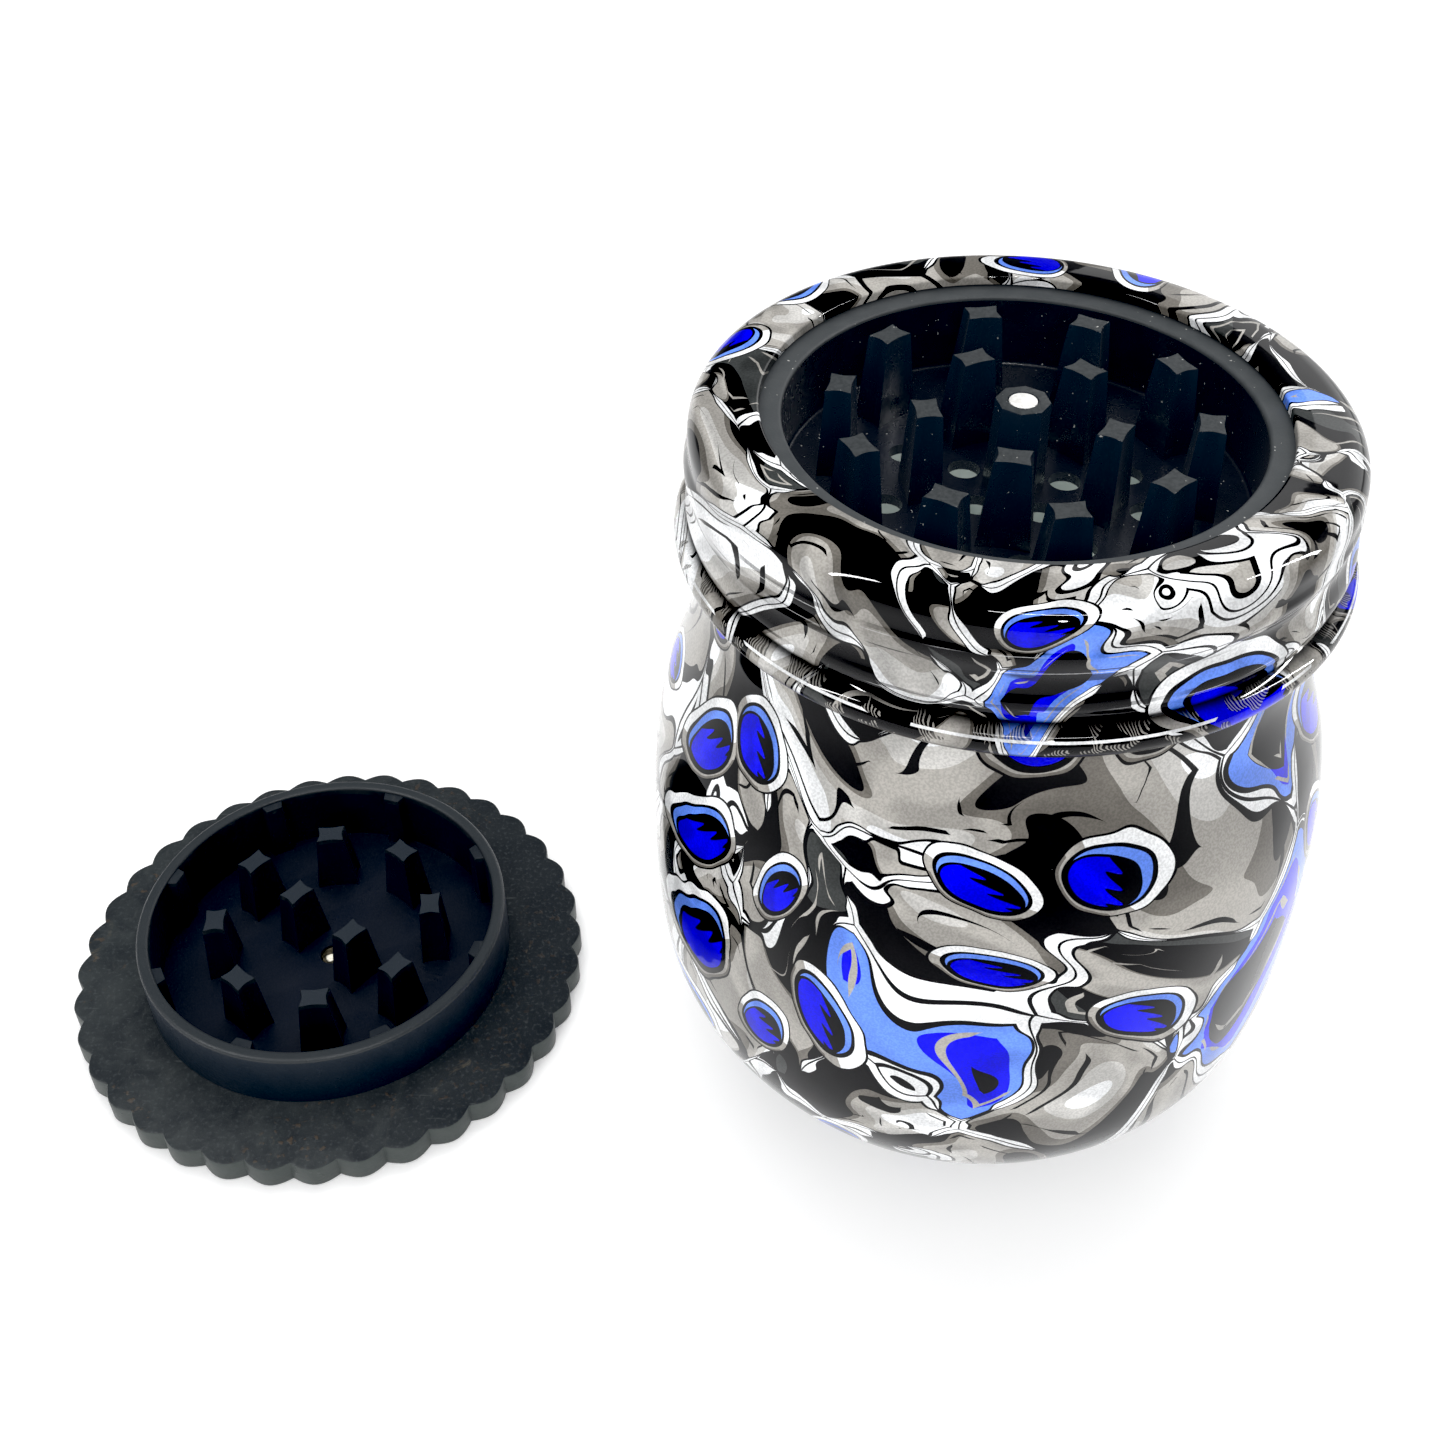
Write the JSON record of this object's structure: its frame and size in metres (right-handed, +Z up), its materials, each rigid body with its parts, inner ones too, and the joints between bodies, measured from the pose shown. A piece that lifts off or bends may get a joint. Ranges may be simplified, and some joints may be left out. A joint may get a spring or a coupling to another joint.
{
  "type": "glass herb grinder",
  "caption": "Round-bellied glass jar with a screw band that holds a toothed sieve bowl, and a scalloped toothed cap lying upside down beside it.",
  "frame": {"origin": "centre of the jar's foot, on the surface that the jar stands on", "axes": "+Z up along the jar's axis; -X from the jar's axis to the cap's axis; +Y completes a right-handed frame, so +X is the longest side of the whole and +Y the shortest"},
  "size_m": [0.1597, 0.0796, 0.0926],
  "materials": {
    "printed_glass": "opaque glossy printed film on glass, blue ovals on grey and black",
    "printed_metal": "glossy printed film on thin sheet steel",
    "bowl_plastic": "black moulded plastic, glossy inside and matte on the rim",
    "cap_plastic": "charcoal black moulded plastic, scuffed",
    "nickel": "bright nickel plate",
    "silicone": "matte translucent white"
  },
  "bodies": {
    "jar": {"glass_jar": "printed_glass"},
    "insert": {"grinder_bowl": "bowl_plastic", "bowl_magnet": "nickel", "sealing_gasket": "silicone"},
    "band": {"screw_band": "printed_metal"},
    "cap_carrier": {"cap_magnet": "nickel"},
    "cap": {"grinder_cap": "cap_plastic"}
  },
  "joints": [
    {"name": "lid_lift", "type": "slide", "parent": "jar", "child": "insert", "axis": [0, 0, 1], "range_m": [0, 0.0105]},
    {"name": "band_turn", "type": "hinge", "parent": "insert", "child": "band", "pos_m": [0, 0, 0.084], "axis": [0, 0, 1], "range_deg": [0, 594]},
    {"name": "cap_swing", "type": "hinge", "parent": "jar", "child": "cap_carrier", "pos_m": [-0.04275, 0, 0.0533], "axis": [0, 1, 0], "range_deg": [0, 180]},
    {"name": "cap_turn", "type": "hinge", "parent": "cap_carrier", "child": "cap", "pos_m": [-0.0855, 0, 0.003], "axis": [0, 0, 1], "continuous": true}
  ],
  "couplings": [
    {"joint": "lid_lift", "follows": "band_turn", "m_per_rad": 0.0010106}
  ]
}
